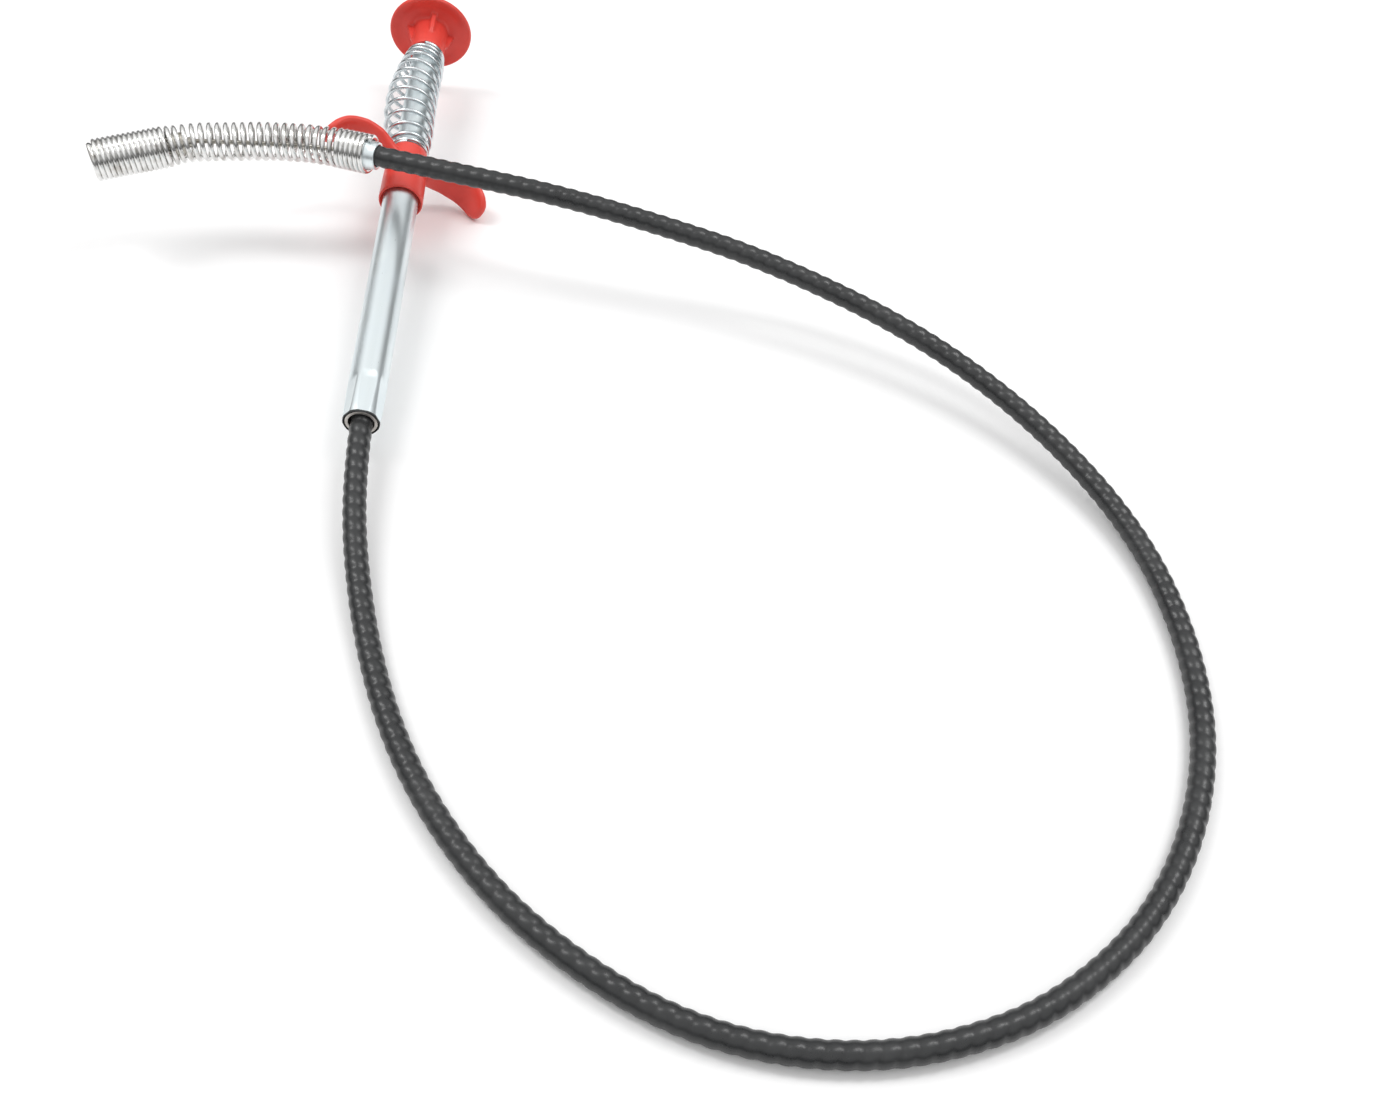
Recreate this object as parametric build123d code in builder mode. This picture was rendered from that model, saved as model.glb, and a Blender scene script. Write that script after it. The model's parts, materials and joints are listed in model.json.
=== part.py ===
from build123d import *
from math import cos, pi, radians, sin, tan
import os

# Claw-type drain auger, lying on a flat surface at Z = 0. Millimetres, +Z up.
# The handle runs along +Y towards the thumb button, tilted up a little, because one
# finger wing props it. The flexible shaft leaves the handle towards -Y, runs round in
# a loop and crosses over the grip, and the spring head points towards -X.
# The origin lies on the surface, under the middle of the handle and the head.

# ---- Driving dimensions -------------------------------------------------------

MOUTH = (35.4, -100.5, 12.2)   # centre of the handle tube's open lower end
TILT = 3.87                    # degrees that the handle rises towards the button
WING_TURN = 32.6               # degrees that the wings are turned about the handle

TUBE_OD = 12.0
TUBE_BORE = 11.0
TUBE_LENGTH = 123.0
CRIMP_START = 1.2              # six flats crimp the tube into the rear bushing's waist
CRIMP_END = 16.0
CRIMP_FLATS = 11.1             # across flats
CRIMP_BORE = 10.2
CRIMP_TURN = -19.6             # degrees that the flats are turned about the handle

BUSHING_END = 20.0
BUSHING_RECESS = 0.8
BUSHING_MOUTH_BORE = 8.4
BUSHING_MOUTH_DEPTH = 5.2

GUIDE_START = 113.0
GUIDE_FLANGE = 1.2

PLUNGER_OD = 10.2
PLUNGER_BORE = 9.2
PLUNGER_START = 112.7          # just below the guide bush, which stops its flange
PLUNGER_END = 193.0
SLIDE_CLEARANCE = 0.2          # on the diameter, where one piece slides in another
FIT_GAP = 0.1                  # on the diameter, where a socket is crimped onto the shaft

ANCHOR_FLANGE = 2.9            # thickness
ANCHOR_FLANGE_OD = 10.7
ANCHOR_PLUG = 10.0             # how deep the plug goes into the plunger
WIRE_CRIMP_OD = 4.0
WIRE_CRIMP_LENGTH = 7.0
WIRE_TAIL = 3.0                # the drive wire beyond its crimp

GRIP_START = 100.5
GRIP_END = 125.4
GRIP_OD = 15.2
GRIP_TOP_WALL = 1.2
GRIP_BEVEL = 1.0               # on the lower end's inner edge
WING_ROOT_HALF = 4.4           # half width of a wing where it leaves the sleeve
WING_ROOT_REACH = 10.0         # from the handle's axis to where the wing starts to widen
WING_TIP_RADIUS = 5.3
WING_TIP_REACH = 26.5          # from the handle's axis to the centre of the round tip
# A wing's two faces, as (reach from the handle's axis, distance up from the mouth).
WING_TOP_FACE = [(5, 122.0), (13, 124.8), (21, 125.3), (28, 121.8), (32.4, 114.2)]
WING_LOWER_FACE = [(30.6, 113.2), (26.2, 119.3), (20.4, 121.9), (13, 121.2), (5, 117.4)]

SPRING_END = 184.0
SPRING_WIRE = 1.5
SPRING_RADIUS = 7.4            # mean radius
SPRING_TURNS = 10
SPRING_END_GAP = 0.15          # between the end turns and what they push on

HUB_OD = 12.5
DISC_UNDERSIDE = 198.2
DISC_TOP = 201.2
# The disc's edge, as (radius, depth below its top), from the flat face to the underside.
DISC_EDGE = [(10.5, 0), (13.6, 0.7), (15.5, 2.6), (15.1, 4.2), (13.7, 4.0), (11, 3)]
RIB_COUNT = 4
RIB_TURN = 10.0                # degrees that the ribs are turned about the handle
RIB_THICKNESS = 1.6
RIB_REACH = 9.6
RIB_START = 187.5
RIB_ROOT = 2.0                 # the ribs begin inside the hub, this far from the axis
RIB_SINK = 0.2                 # and end this far inside the disc

SHAFT_OD = 7.0
JACKET_BORE = 5.2
LINER_OD = 5.0
LINER_BORE = 3.2
WIRE_OD = 1.5
HOLE_FOR_WIRE = 1.9

HEAD_WIRE = 1.6
FERRULE_LENGTH = 13.0
FERRULE_OD = 10.6
FERRULE_SOCKET = 5.0
FERRULE_BARE = 2.4             # the length of ferrule that shows behind the spring
ROOT_RADIUS = 6.6              # mean radii of the head spring
BODY_RADIUS = 5.9
TIP_RADIUS = 6.1
ROOT_TURNS = 6
BODY_TURNS = 17
TIP_TURNS = 18
CLOSE_PITCH = 1.72
BODY_END_GAP = 1.4             # between each bend and the open coils

CLAW_WIRE = 1.3
CLAW_COUNT = 4
CLAW_PIVOT_DEPTH = 25.5        # from the head's mouth back to the claws' pivots
CLAW_ROOT_GAP = 0.35           # room for a claw's root to turn
COLLAR_OD = 7.6
COLLAR_LENGTH = 4.5
STEM_OD = 3.4
STEM_LENGTH = 2.5
WIRE_IN_STEM = 1.0             # how far the drive wire's end reaches into the stem
# Each claw is a bent wire, nearly straight while it hides in the head, with a hook at
# its end that turns in. Its bends, as (distance along the head, reach from its axis).
CLAW_SHAPE = [(0, 2.2), (14, 2.3), (20, 3), (23.8, 4.1), (24.3, 1.9)]
CLAW_BENDS = [12, 10, 0.9]

# Route of the flexible shaft, from inside the handle to the head's ferrule: straight
# out of the handle, down to the surface, round the loop, up and over the grip.
ROUTE = [
    (35.4, -88.5, 13.01),
    (35.4, -122.5, 10.71),
    (43.8, -168, 3.5),
    (58.3, -209.4, 3.5),
    (78.2, -241, 3.5),
    (101, -264, 3.5),
    (131.4, -283, 3.5),
    (162, -290.6, 3.5),
    (193.6, -288.9, 3.5),
    (226.8, -276.4, 3.5),
    (257.6, -248.6, 3.5),
    (276.8, -208, 3.5),
    (280.6, -165, 3.5),
    (271.6, -122.6, 5),
    (245.4, -82.5, 10),
    (208, -52.3, 18),
    (160, -30.2, 26),
    (122, -21.2, 32),
    (90, -15.1, 36.6),
    (57, -8.1, 38),
    (25, 0.4, 38),
]

# The head's axis goes on from the end of the shaft: straight through the root coils,
# then the open coils, then the close-wound tip.
HEAD_BEND_1 = (13.5, 3.4, 38)
HEAD_BEND_2 = (-30.5, 2.6, 38)
HEAD_MOUTH = (-62.5, -10, 37)

# ---- Planes and paths ---------------------------------------------------------

os.makedirs("parts", exist_ok=True)

axis = Vector(0, cos(radians(TILT)), sin(radians(TILT)))
handle_up = Vector(0, -sin(radians(TILT)), cos(radians(TILT)))
wing_way = Vector(1, 0, 0) * cos(radians(WING_TURN)) - handle_up * sin(radians(WING_TURN))

HANDLE = Plane(origin=MOUTH, x_dir=wing_way, z_dir=axis)
HANDLE_AXIS = Axis(MOUTH, axis)

shaft_end = Vector(*ROUTE[-1])
head_bend_1 = Vector(*HEAD_BEND_1)
head_bend_2 = Vector(*HEAD_BEND_2)
head_mouth = Vector(*HEAD_MOUTH)
ferrule_way = (shaft_end - Vector(*ROUTE[-2])).normalized()
body_way = (head_bend_2 - head_bend_1).normalized()
tip_way = (head_mouth - head_bend_2).normalized()


def station(distance):
    """A plane across the handle, at a distance up from the tube's mouth."""
    return HANDLE.offset(distance)


def lengthwise(way):
    """A plane that holds the handle's axis as its Y, with its X along a direction."""
    return Plane(origin=MOUTH, x_dir=way, z_dir=way.cross(axis))


def across(point, way):
    """A plane at a point, facing along a direction."""
    return Plane(origin=point, z_dir=way)


def corner_radii(points):
    """The largest arc that each corner's two runs allow: 0.45 of the shorter run."""
    radii = []
    for before, corner, after in zip(points, points[1:], points[2:]):
        run_in = Vector(*corner) - Vector(*before)
        run_out = Vector(*after) - Vector(*corner)
        shorter = min(run_in.length, run_out.length)
        turn = run_in.get_angle(run_out)
        radii.append(0.45 * shorter / tan(radians(turn / 2)))
    return radii


def hollow_rod(plane, length, outer, bore):
    """A straight tube that stands on a plane."""
    with BuildPart() as rod:
        with BuildSketch(plane):
            Circle(outer / 2)
            Circle(bore / 2, mode=Mode.SUBTRACT)
        extrude(amount=length)
    return rod.part


def finish(part, label):
    """Name a finished piece and write it to its own file."""
    part.label = label
    export_step(part, "parts/" + label + ".step")


# ---- Handle -------------------------------------------------------------------

# A plain steel tube. Six flats near its mouth are pressed onto the bushing's waist.
with BuildPart() as handle_tube:
    with BuildSketch(station(0)):
        Circle(TUBE_OD / 2)
    extrude(amount=TUBE_LENGTH)
    with BuildSketch(station(CRIMP_START)):
        Circle(TUBE_OD)
        RegularPolygon(
            radius=CRIMP_FLATS / 2, side_count=6, major_radius=False, rotation=CRIMP_TURN,
            mode=Mode.SUBTRACT,
        )
    extrude(amount=CRIMP_END - CRIMP_START, mode=Mode.SUBTRACT)
    with BuildSketch(station(0)):
        Circle(CRIMP_BORE / 2)
    extrude(amount=CRIMP_END, mode=Mode.SUBTRACT)
    for start, end in ((0, CRIMP_START), (CRIMP_END, TUBE_LENGTH)):
        with BuildSketch(station(start)):
            Circle(TUBE_BORE / 2)
        extrude(amount=end - start, mode=Mode.SUBTRACT)
finish(handle_tube.part, "handle_tube")

# The bushing flares open at the mouth, and grips the shaft further in. Its waist takes
# the crimp.
with BuildPart() as rear_bushing:
    with BuildSketch(station(BUSHING_RECESS)):
        Circle(CRIMP_BORE / 2)
    extrude(amount=BUSHING_END - BUSHING_RECESS)
    for start, end in ((BUSHING_RECESS, CRIMP_START), (CRIMP_END, BUSHING_END)):
        with BuildSketch(station(start)):
            Circle(TUBE_BORE / 2)
        extrude(amount=end - start)
    with BuildSketch(station(BUSHING_RECESS)):
        Circle((SHAFT_OD + FIT_GAP) / 2)
    extrude(amount=BUSHING_END - BUSHING_RECESS, mode=Mode.SUBTRACT)
    with BuildSketch(station(BUSHING_RECESS)):
        Circle(BUSHING_MOUTH_BORE / 2)
    extrude(amount=BUSHING_MOUTH_DEPTH, mode=Mode.SUBTRACT)
finish(rear_bushing.part, "rear_bushing")

# The plunger slides in this bush, whose flange sits on the tube's top end.
guide_bore = PLUNGER_OD + SLIDE_CLEARANCE
guide_sleeve = hollow_rod(station(GUIDE_START), TUBE_LENGTH - GUIDE_START, TUBE_BORE, guide_bore)
guide_flange = hollow_rod(station(TUBE_LENGTH), GUIDE_FLANGE, TUBE_OD, guide_bore)
with BuildPart() as guide_bush:
    add(guide_sleeve)
    add(guide_flange)
finish(guide_bush.part, "guide_bush")

# Sleeve with two finger wings, which bow towards the button and hook back at the tips.
with BuildPart() as finger_grip:
    for side in (1, -1):
        with BuildSketch(lengthwise(wing_way)):
            with BuildLine():
                top = Spline(*[(side * reach, along) for reach, along in WING_TOP_FACE])
                lower = Spline(*[(side * reach, along) for reach, along in WING_LOWER_FACE])
                Line(top @ 1, lower @ 0)
                Line(lower @ 1, top @ 0)
            make_face()
        extrude(amount=WING_TIP_RADIUS + 1, both=True)
    with BuildSketch(station(GRIP_START)):
        for side in (1, -1):
            with BuildLine():
                Polyline(
                    (0, -WING_ROOT_HALF), (side * WING_ROOT_REACH, -WING_ROOT_HALF),
                    (side * WING_TIP_REACH, -WING_TIP_RADIUS),
                    (side * WING_TIP_REACH, WING_TIP_RADIUS),
                    (side * WING_ROOT_REACH, WING_ROOT_HALF), (0, WING_ROOT_HALF), close=True,
                )
            make_face()
            with Locations((side * WING_TIP_REACH, 0)):
                Circle(WING_TIP_RADIUS)
    extrude(amount=GRIP_END - GRIP_START + 2, mode=Mode.INTERSECT)
    with BuildSketch(station(GRIP_START)):
        Circle(GRIP_OD / 2)
    extrude(amount=GRIP_END - GRIP_START)
    with BuildSketch(station(GRIP_START)):
        Circle(TUBE_OD / 2)
    extrude(amount=GRIP_END - GRIP_START - GRIP_TOP_WALL, mode=Mode.SUBTRACT)
    with BuildSketch(station(GRIP_START)):
        Circle((PLUNGER_OD + 2 * SLIDE_CLEARANCE) / 2)
    extrude(amount=GRIP_END - GRIP_START, mode=Mode.SUBTRACT)
    lip = finger_grip.faces().sort_by(HANDLE_AXIS)[0]
    chamfer(lip.inner_wires()[0].edges(), GRIP_BEVEL)
finish(finger_grip.part, "finger_grip")

# ---- Plunger ------------------------------------------------------------------

# Thumb button: a dished disc on a hub, with four ribs between them.
with BuildPart() as thumb_button:
    with BuildSketch(lengthwise(handle_up)):
        with BuildLine():
            Polyline(
                (0, DISC_TOP), *[(radius, DISC_TOP - depth) for radius, depth in DISC_EDGE],
                (HUB_OD / 2, DISC_UNDERSIDE), (HUB_OD / 2, SPRING_END),
                (0, SPRING_END), close=True,
            )
        make_face()
    revolve(axis=HANDLE_AXIS)
    for number in range(RIB_COUNT):
        rib_way = handle_up.rotate(Axis((0, 0, 0), axis), RIB_TURN + 360 / RIB_COUNT * number)
        rib_top = DISC_UNDERSIDE + RIB_SINK
        with BuildSketch(lengthwise(rib_way)):
            Polygon((RIB_ROOT, RIB_START), (HUB_OD / 2, RIB_START), (RIB_REACH, rib_top),
                    (RIB_ROOT, rib_top), align=None)
        extrude(amount=RIB_THICKNESS / 2, both=True)
    with BuildSketch(station(SPRING_END)):
        Circle(PLUNGER_OD / 2)
    extrude(amount=PLUNGER_END - SPRING_END, mode=Mode.SUBTRACT)
finish(thumb_button.part, "thumb_button")

plunger_tube = hollow_rod(
    station(PLUNGER_START), PLUNGER_END - PLUNGER_START, PLUNGER_OD, PLUNGER_BORE
)
finish(plunger_tube, "plunger_tube")

# A stepped plug crimped into the plunger's lower end. Its flange stops against the
# guide bush, and the drive wire passes through it.
anchor_start = PLUNGER_START - ANCHOR_FLANGE
anchor_end = PLUNGER_START + ANCHOR_PLUG
anchor_flange = hollow_rod(station(anchor_start), ANCHOR_FLANGE, ANCHOR_FLANGE_OD, HOLE_FOR_WIRE)
anchor_plug = hollow_rod(station(PLUNGER_START), ANCHOR_PLUG, PLUNGER_BORE, HOLE_FOR_WIRE)
with BuildPart() as wire_anchor:
    add(anchor_flange)
    add(anchor_plug)
finish(wire_anchor.part, "wire_anchor")

# The crimp that keeps the drive wire from pulling back out of the anchor.
wire_end_crimp = hollow_rod(
    station(anchor_end), WIRE_CRIMP_LENGTH, WIRE_CRIMP_OD, HOLE_FOR_WIRE
)
finish(wire_end_crimp, "wire_end_crimp")

# Return spring, between the top of the grip and the button's hub.
with BuildPart() as return_spring:
    spring_foot = SPRING_WIRE / 2 + SPRING_END_GAP
    spring_length = SPRING_END - GRIP_END - 2 * spring_foot
    with BuildLine():
        coil = Helix(
            pitch=spring_length / SPRING_TURNS, height=spring_length, radius=SPRING_RADIUS,
            center=station(GRIP_END + spring_foot).origin, direction=axis,
        )
    with BuildSketch(across(coil @ 0, coil % 0)):
        Circle(SPRING_WIRE / 2)
    sweep(path=coil, is_frenet=True)
finish(return_spring.part, "return_spring")

# ---- Flexible shaft -----------------------------------------------------------


def rounded_path(points, radii):
    """Straight runs joined by tangent arcs."""
    with BuildLine() as path:
        FilletPolyline(*points, radius=radii)
    return path.wires()[0]


def swept_tube(path, outer, bore=0):
    """A round tube along a path, or a solid rod where it has no bore."""
    with BuildPart() as tube:
        with BuildSketch(across(path @ 0, path % 0)):
            Circle(outer / 2)
            if bore:
                Circle(bore / 2, mode=Mode.SUBTRACT)
        sweep(path=path)
    return tube.part


shaft_radii = corner_radii(ROUTE)
shaft_path = rounded_path(ROUTE, shaft_radii)
shaft_jacket = swept_tube(shaft_path, SHAFT_OD, JACKET_BORE)
finish(shaft_jacket, "shaft_jacket")

section = pi * (SHAFT_OD ** 2 - JACKET_BORE ** 2) / 4
print("shaft corner radii:", [round(radius) for radius in shaft_radii])
print("jacket length", round(shaft_path.length, 1))
print("jacket volume ratio", round(shaft_jacket.volume / (section * shaft_path.length), 4))

shaft_liner = swept_tube(shaft_path, LINER_OD, LINER_BORE)
finish(shaft_liner, "shaft_liner")

# The drive wire starts in the plunger and ends in the claws' collar.
wire_top = station(anchor_end + WIRE_CRIMP_LENGTH + WIRE_TAIL).origin
stem_back = head_mouth - tip_way * (CLAW_PIVOT_DEPTH + COLLAR_LENGTH + STEM_LENGTH)
wire_foot = stem_back + tip_way * WIRE_IN_STEM
wire_route = [tuple(wire_top)] + ROUTE[1:-1] + [HEAD_BEND_1, HEAD_BEND_2, tuple(wire_foot)]
drive_wire = swept_tube(rounded_path(wire_route, corner_radii(wire_route)), WIRE_OD)
finish(drive_wire, "drive_wire")

# ---- Head ---------------------------------------------------------------------

# Steel ferrule crimped on the shaft's end; the spring's root coils grip it.
ferrule_mouth = shaft_end - ferrule_way * FERRULE_SOCKET
with BuildPart() as front_ferrule:
    with BuildSketch(across(ferrule_mouth, ferrule_way)):
        Circle(FERRULE_OD / 2)
        Circle((SHAFT_OD + FIT_GAP) / 2, mode=Mode.SUBTRACT)
    extrude(amount=FERRULE_SOCKET)
    with BuildSketch(across(shaft_end, ferrule_way)):
        Circle(FERRULE_OD / 2)
        Circle(LINER_BORE / 2, mode=Mode.SUBTRACT)
    extrude(amount=FERRULE_LENGTH - FERRULE_SOCKET)
finish(front_ferrule.part, "front_ferrule")


def coil_stretch(start, way, radius, pitch, turns):
    """A stretch of round spring wire, wound about a straight axis."""
    with BuildPart() as stretch:
        with BuildLine():
            turn = Helix(pitch=pitch, height=pitch * turns, radius=radius, center=start, direction=way)
        with BuildSketch(across(turn @ 0, turn % 0)):
            Circle(HEAD_WIRE / 2)
        sweep(path=turn, is_frenet=True)
    return stretch.part


# One spring, in the three stretches that its bends leave: close coils on the ferrule,
# open coils that can flex, and the close-wound tip that shields the claws.
root_start = ferrule_mouth + ferrule_way * FERRULE_BARE
body_start = head_bend_1 + body_way * BODY_END_GAP
body_length = (head_bend_2 - head_bend_1).length - 2 * BODY_END_GAP
tip_start = head_mouth - tip_way * (TIP_TURNS * CLOSE_PITCH + HEAD_WIRE / 2)
root_coils = coil_stretch(root_start, ferrule_way, ROOT_RADIUS, CLOSE_PITCH, ROOT_TURNS)
body_coils = coil_stretch(body_start, body_way, BODY_RADIUS, body_length / BODY_TURNS, BODY_TURNS)
tip_coils = coil_stretch(tip_start, tip_way, TIP_RADIUS, CLOSE_PITCH, TIP_TURNS)
head_spring = Compound(children=[root_coils, body_coils, tip_coils])
finish(head_spring, "head_spring")

# ---- Claws --------------------------------------------------------------------

pivot_centre = head_mouth - tip_way * CLAW_PIVOT_DEPTH
collar_back = pivot_centre - tip_way * COLLAR_LENGTH
TIP = Plane(origin=pivot_centre, z_dir=tip_way)

with BuildPart() as claw_collar:
    with BuildSketch(across(collar_back, tip_way)):
        Circle(COLLAR_OD / 2)
        Circle(HOLE_FOR_WIRE / 2, mode=Mode.SUBTRACT)
    extrude(amount=COLLAR_LENGTH - CLAW_ROOT_GAP)
    with BuildSketch(across(stem_back, tip_way)):
        Circle(STEM_OD / 2)
        Circle(HOLE_FOR_WIRE / 2, mode=Mode.SUBTRACT)
    extrude(amount=STEM_LENGTH)
finish(claw_collar.part, "claw_collar")

for number in range(CLAW_COUNT):
    outward = TIP.x_dir.rotate(Axis((0, 0, 0), tip_way), 360 / CLAW_COUNT * (number + 0.5))
    bends = [pivot_centre + tip_way * along + outward * reach for along, reach in CLAW_SHAPE]
    finish(swept_tube(rounded_path(bends, CLAW_BENDS), CLAW_WIRE), f"claw_{number + 1}")
    print("claw", number + 1, "pivot", bends[0], "axis", outward.cross(tip_way) * -1)

# The joints' axes and places, for the record.
print("plunger way", axis * -1)
print("claw way", tip_way)
print("button face", station(DISC_TOP).origin)
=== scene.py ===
import json
import math

import bpy
import numpy as np
from mathutils import Matrix, Vector


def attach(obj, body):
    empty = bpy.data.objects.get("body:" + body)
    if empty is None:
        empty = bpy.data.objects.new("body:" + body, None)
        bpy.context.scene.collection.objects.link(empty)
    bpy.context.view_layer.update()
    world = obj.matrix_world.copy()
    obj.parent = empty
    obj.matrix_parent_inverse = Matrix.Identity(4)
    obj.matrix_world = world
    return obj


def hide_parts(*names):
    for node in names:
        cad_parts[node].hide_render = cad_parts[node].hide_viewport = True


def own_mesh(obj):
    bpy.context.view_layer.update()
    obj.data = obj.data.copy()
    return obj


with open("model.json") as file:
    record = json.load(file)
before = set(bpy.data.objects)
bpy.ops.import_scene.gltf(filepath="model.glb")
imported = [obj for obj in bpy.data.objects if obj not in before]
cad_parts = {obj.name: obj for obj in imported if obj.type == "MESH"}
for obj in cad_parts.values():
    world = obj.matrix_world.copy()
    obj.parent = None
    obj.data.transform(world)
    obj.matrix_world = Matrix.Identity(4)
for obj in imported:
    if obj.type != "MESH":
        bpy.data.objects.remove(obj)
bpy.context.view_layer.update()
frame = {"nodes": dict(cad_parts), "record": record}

# Looks of the drain auger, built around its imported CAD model. Blender's unit is the
# metre. Shapes on the handle are drawn in millimetres, in the handle's own frame, and
# MM turns them into metres. That frame starts at the middle of the handle's mouth, and
# its ways are along the wings, square to them, and up the handle.

MM = 0.001
MICRON = 1e-6

# ---- Places -------------------------------------------------------------------

MOUNTS = {mount["name"]: mount for mount in frame["record"]["mounts"]}
AXIS = np.array(MOUNTS["thumb_face"]["axis"])      # up the handle, towards the button
HEAD_WAY = np.array(MOUNTS["drain_entry"]["axis"])  # out of the head's open end
HEAD_MOUTH = np.array(MOUNTS["drain_entry"]["pos_m"])

BUTTON_TOP = 201.2             # the button's flat face, up from the handle's mouth
WING_TURN = math.radians(32.6)
MOUTH = np.array(MOUNTS["thumb_face"]["pos_m"]) - AXIS * BUTTON_TOP * MM

RIGHT = np.array([1.0, 0.0, 0.0])
UP = np.cross(RIGHT, AXIS)
WING_WAY = RIGHT * math.cos(WING_TURN) - UP * math.sin(WING_TURN)
WING_FACE = np.cross(AXIS, WING_WAY)

CAMERA_PLACE = (0.1164, -0.42495, 0.34105)
CAMERA_TARGET = (0.1369, -0.13665, 0.0)
CAMERA_ROLL = math.radians(5.35)
CAMERA_LENS = 39.046
CAMERA_SENSOR = 36.0           # wide

# The flexible shaft's route, the same points as in the CAD source.
ROUTE = [
    (0.0354, -0.0885, 0.01301),
    (0.0354, -0.1225, 0.01071),
    (0.0438, -0.168, 0.0035),
    (0.0583, -0.2094, 0.0035),
    (0.0782, -0.241, 0.0035),
    (0.101, -0.264, 0.0035),
    (0.1314, -0.283, 0.0035),
    (0.162, -0.2906, 0.0035),
    (0.1936, -0.2889, 0.0035),
    (0.2268, -0.2764, 0.0035),
    (0.2576, -0.2486, 0.0035),
    (0.2768, -0.208, 0.0035),
    (0.2806, -0.165, 0.0035),
    (0.2716, -0.1226, 0.005),
    (0.2454, -0.0825, 0.010),
    (0.208, -0.0523, 0.018),
    (0.160, -0.0302, 0.026),
    (0.122, -0.0212, 0.032),
    (0.090, -0.0151, 0.0366),
    (0.057, -0.0081, 0.038),
    (0.025, 0.0004, 0.038),
]

# ---- Sizes, in millimetres ----------------------------------------------------

SHAFT_RADIUS = 3.5
SHAFT_SIDES = 32
RIB_PITCH = 4.43
RIB_DEPTH = 0.26
RIB_SHARPNESS = 1.4            # above 1, the grooves between the ribs are narrower
RINGS_PER_RIB = 12

TUBE_RADIUS = 6.0
TUBE_BORE = 5.5                # radius
TUBE_LENGTH = 123.0
TUBE_SIDES = 144
# The tube is drawn in a little towards its mouth, as (distance up, radius).
MOUTH_TAPER = [(0, 5.66), (3, 5.84), (12, TUBE_RADIUS)]
# The six flats fade in over one length at the mouth and fade out over another above.
CRIMP_FLATS = 5.5              # from the axis to a flat
CRIMP_MOUTH_START = -1.2       # below the mouth, so that the flats already show at its rim
CRIMP_MOUTH_FADE = 2.0
CRIMP_TOP = 17.6
CRIMP_TOP_FADE = 3.4
CRIMP_LEAN = math.radians(13)  # the top flat faces this far to the right of straight up
# The tube's rings inside, from its upper end to its mouth, as (radius, distance up).
TUBE_INSIDE = [
    (5.9, 123.0), (5.6, 123.0), (TUBE_BORE, 122.8), (TUBE_BORE, 60), (TUBE_BORE, 18),
    (5.15, 15), (5.15, 2.2), (5.2, 1.0), (5.28, 0.2), (5.36, 0.0), (5.5, -0.02),
]
SHADE_RINGS_OUTSIDE = 2          # rows of faces next to the rim that get near-black painted shade
SHADE_RINGS_INSIDE = 4
# The bushing's section, as (radius, distance up).
BUSHING_OUTLINE = [
    (5.0, 0.05), (5.12, 1.0), (5.12, 15.5), (5.45, 17), (5.45, 19.9), (3.56, 19.9),
    (3.56, 6.2), (3.95, 5.4), (3.95, 0.05),
]

PLUNGER_RADIUS = 5.1
PLUNGER_WALL = 0.5
PLUNGER_START = 112.7
PLUNGER_END = 193.0
PLUNGER_STEP = 2               # between its rings, or a little more

GRIP_START = 100.5
GRIP_END = 125.4
GRIP_RADIUS = 7.55
AXIS_HOLE = 0.05               # solids of revolution stop this short of their axis
CUTTER_HOLE = 0.02             # and so do the cutters
# The sleeve's section and its bore, as (radius, distance up). A corner's rounding goes
# with each point of the sleeve.
SLEEVE_OUTLINE = [
    (AXIS_HOLE, GRIP_START), (GRIP_RADIUS, GRIP_START), (7.4, GRIP_START + 12),
    (6.8, GRIP_END + 0.2), (AXIS_HOLE, GRIP_END + 0.2),
]
SLEEVE_ROUNDING = [0, 0.7, 2, 1.5, 0]
GRIP_BORE = [
    (CUTTER_HOLE, GRIP_START - 2), (7.1, GRIP_START - 2), (6.95, GRIP_START + 0.1),
    (6.02, GRIP_START + 1.2), (6.02, GRIP_END - 1.2), (5.32, GRIP_END - 1.2),
    (5.32, GRIP_END + 3), (CUTTER_HOLE, GRIP_END + 3),
]
# A wing's middle line, as (reach from the axis, distance up), then its half width and
# half thickness, as (distance along that line, size).
WING_MIDDLE = [(3, 118.2), (9, 122.0), (16, 124.2), (23.5, 122.8), (28, 118.6), (30.2, 114.4)]
WING_HALF_WIDTH = [(0, 4.6), (5, 5.0), (11, 6.6), (17, 7.0), (24, 6.4), (30, 5.4)]
WING_HALF_THICKNESS = [(0, 2.3), (8, 1.9), (18, 1.75), (30, 1.6), (36, 1.35)]
WING_TIP = 5.2                 # how far from its end a wing starts to round off
WING_TIP_EDGE = 1.5            # and how far from its end it starts to get thin
WING_STEP = 0.5
WING_SQUARENESS = 2.8          # a superellipse's power: 2 is round, and more is squarer

# The button's section, as (radius, distance up), and its corners' rounding.
BUTTON_OUTLINE = [
    (AXIS_HOLE, 184.0), (6.1, 184.0), (6.4, 198.0), (11.0, 198.3), (13.7, 197.35),
    (15.05, 197.1), (15.5, 198.5), (13.6, 200.4), (10.5, 201.15), (AXIS_HOLE, 201.15),
]
BUTTON_ROUNDING = [0, 0.5, 1.2, 2, 1, 0.8, 1.2, 2, 3, 0]
BUTTON_RIBS = 4
RIB_LEAN = math.radians(14)    # the button's top rib faces this far to the right of up
RIB_TOP = 199.2                # inside the disc
# A rib's sections, as (reach from the axis, lowest point, half thickness).
RIB_SECTIONS = [(3.0, 189.0, 0.95), (6.1, 189.2, 0.95), (7.1, 191.2, 0.95), (8.9, 198.0, 0.8)]
RIB_SQUARENESS = 0.6           # below 1, a section's corners are squarer
SOCKET_START = 182             # below the button, so that the cutter comes out of it

MOULDING_VOXEL = 0.3
CREASE = math.radians(40)      # edges sharper than this stay sharp

SPRING_WIRE = 0.72             # radius
SPRING_END = 184
SPRING_BOW = 2.4               # how far its middle stands to the left of the axis
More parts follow.
